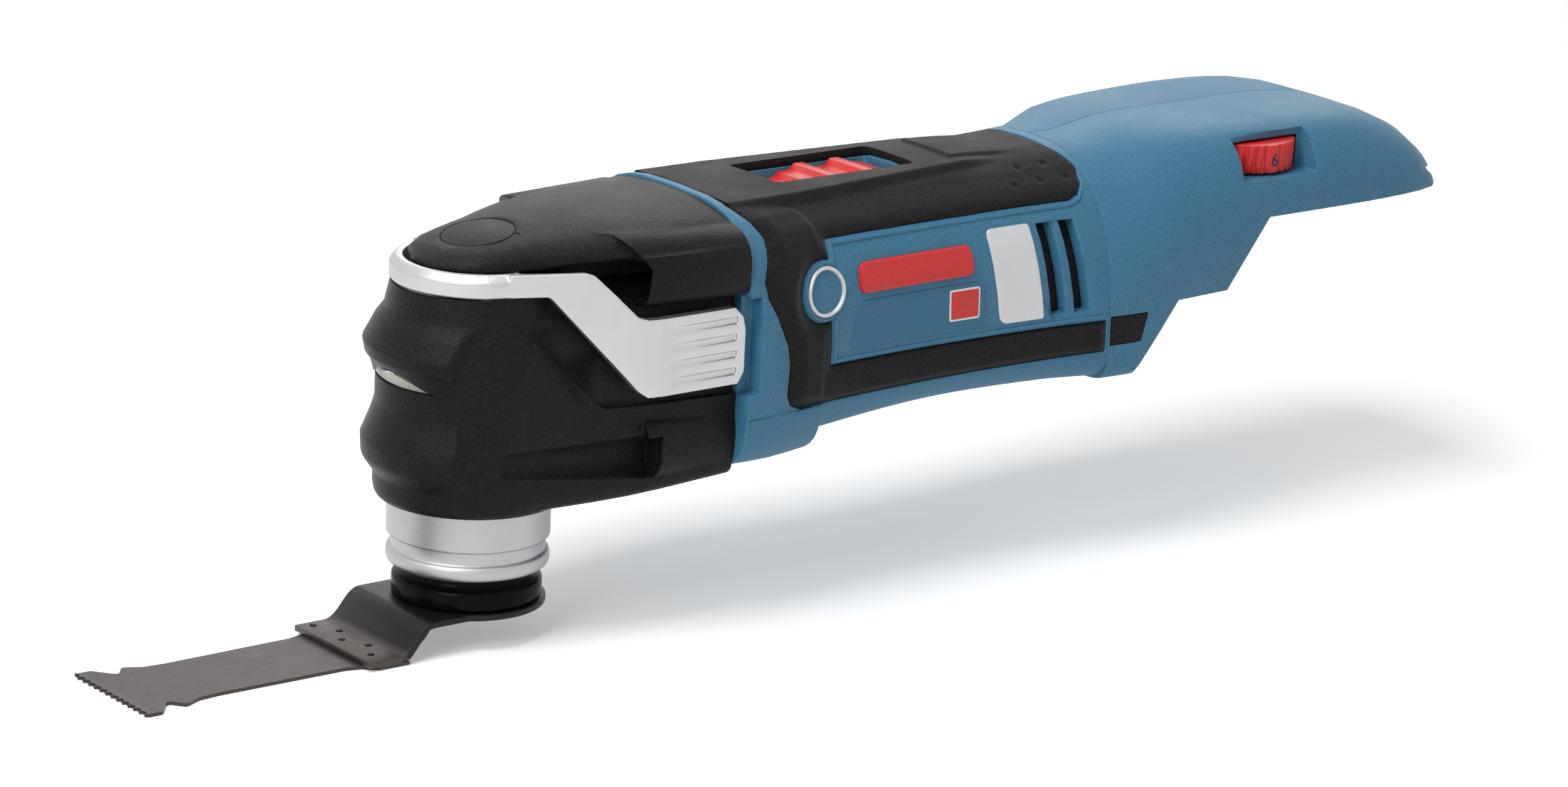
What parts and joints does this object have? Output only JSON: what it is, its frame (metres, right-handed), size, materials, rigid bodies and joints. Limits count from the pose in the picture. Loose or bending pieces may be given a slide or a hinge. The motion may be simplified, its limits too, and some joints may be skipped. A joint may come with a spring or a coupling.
{
  "type": "oscillating multi tool",
  "caption": "Cordless oscillating multi tool: slim grip, offset head with a clamp lever and work light, slide switch, speed dial, battery foot and a cranked saw blade.",
  "frame": {"origin": "on the spindle axis, at mid-height of the accessory collar", "axes": "+X along the tool to the battery foot, -Z down the spindle to the blade, -Y the side with the speed dial"},
  "size_m": [0.3925, 0.073, 0.1068],
  "materials": {
    "black_plastic": "fine grained",
    "soft_black": "soft matt",
    "blue_plastic": "fine grained",
    "red_plastic": "satin",
    "clear_lens": "clear",
    "lever_metal": "satin",
    "cast_metal": "satin",
    "bearing_steel": "ground",
    "tool_steel": "ground",
    "holder_steel": "black oxide",
    "blade_steel": "burnished",
    "spring_steel": "bright",
    "lamination_steel": "plain",
    "copper_wire": "bright",
    "contact_brass": "bright",
    "circuit_board": "satin",
    "light_board": "satin",
    "inner_plastic": "satin",
    "sink_metal": "plain"
  },
  "bodies": {
    "housing": {"head_housing": "black_plastic", "head_cover": "black_plastic", "axis_cap": "black_plastic", "led_lens": "clear_lens", "led_board": "light_board", "gear_case": "cast_metal", "spindle_bearing_lower": "bearing_steel", "spindle_bearing_upper": "bearing_steel", "motor_housing": "blue_plastic", "grip_sleeve": "soft_black", "stator_core": "lamination_steel", "stator_coils": "copper_wire", "motor_bearing_front": "bearing_steel", "motor_bearing_rear": "bearing_steel", "motor_board": "circuit_board", "gear_case_screws": "tool_steel", "switch_module": "inner_plastic", "rear_housing_left": "blue_plastic", "rear_housing_right": "blue_plastic", "rear_grip_pads": "soft_black", "dial_shaft": "tool_steel", "electronics_board": "circuit_board", "heat_sink": "sink_metal", "terminal_block": "inner_plastic", "battery_contacts": "contact_brass", "housing_screws": "tool_steel"},
    "lever": {"clamp_lever": "lever_metal", "lever_axle": "tool_steel"},
    "spindle": {"output_spindle": "tool_steel", "drive_fork": "tool_steel", "tool_holder": "holder_steel", "blade_shank": "blade_steel", "blade_plate": "blade_steel", "clamp_spring": "spring_steel"},
    "rod": {"clamp_rod": "tool_steel", "clamp_jaws": "tool_steel"},
    "rotor": {"rotor_core": "lamination_steel", "rotor_shaft": "tool_steel", "eccentric_bearing": "bearing_steel", "balance_weight": "contact_brass", "fan": "inner_plastic"},
    "switch": {"switch_slider": "red_plastic", "switch_rod": "inner_plastic"},
    "dial": {"speed_dial": "red_plastic"}
  },
  "joints": [
    {"name": "spindle_oscillation", "type": "hinge", "parent": "housing", "child": "spindle", "pos_m": [0, 0, 0], "axis": [0, 0, 1], "range_deg": [-1.4, 1.4]},
    {"name": "clamp_lever_swing", "type": "hinge", "parent": "housing", "child": "lever", "pos_m": [0, 0, 0.062], "axis": [0, 1, 0], "range_deg": [0, 75]},
    {"name": "clamp_rod_slide", "type": "slide", "parent": "spindle", "child": "rod", "axis": [0, 0, -1], "range_m": [0, 0.0043], "deforming": ["clamp_spring"]},
    {"name": "rotor_spin", "type": "hinge", "parent": "housing", "child": "rotor", "pos_m": [0.1, 0, 0.042], "axis": [1, 0, 0], "continuous": true},
    {"name": "switch_slide", "type": "slide", "parent": "housing", "child": "switch", "axis": [-1, 0, 0], "range_m": [0, 0.008]},
    {"name": "speed_dial_turn", "type": "hinge", "parent": "housing", "child": "dial", "pos_m": [0.2286, -0.0202, 0.0693], "axis": [0, 0, 1], "range_deg": [-250, 0]}
  ],
  "couplings": [
    {"joint": "clamp_rod_slide", "follows": "clamp_lever_swing", "m_per_rad": 0.0032086}
  ]
}
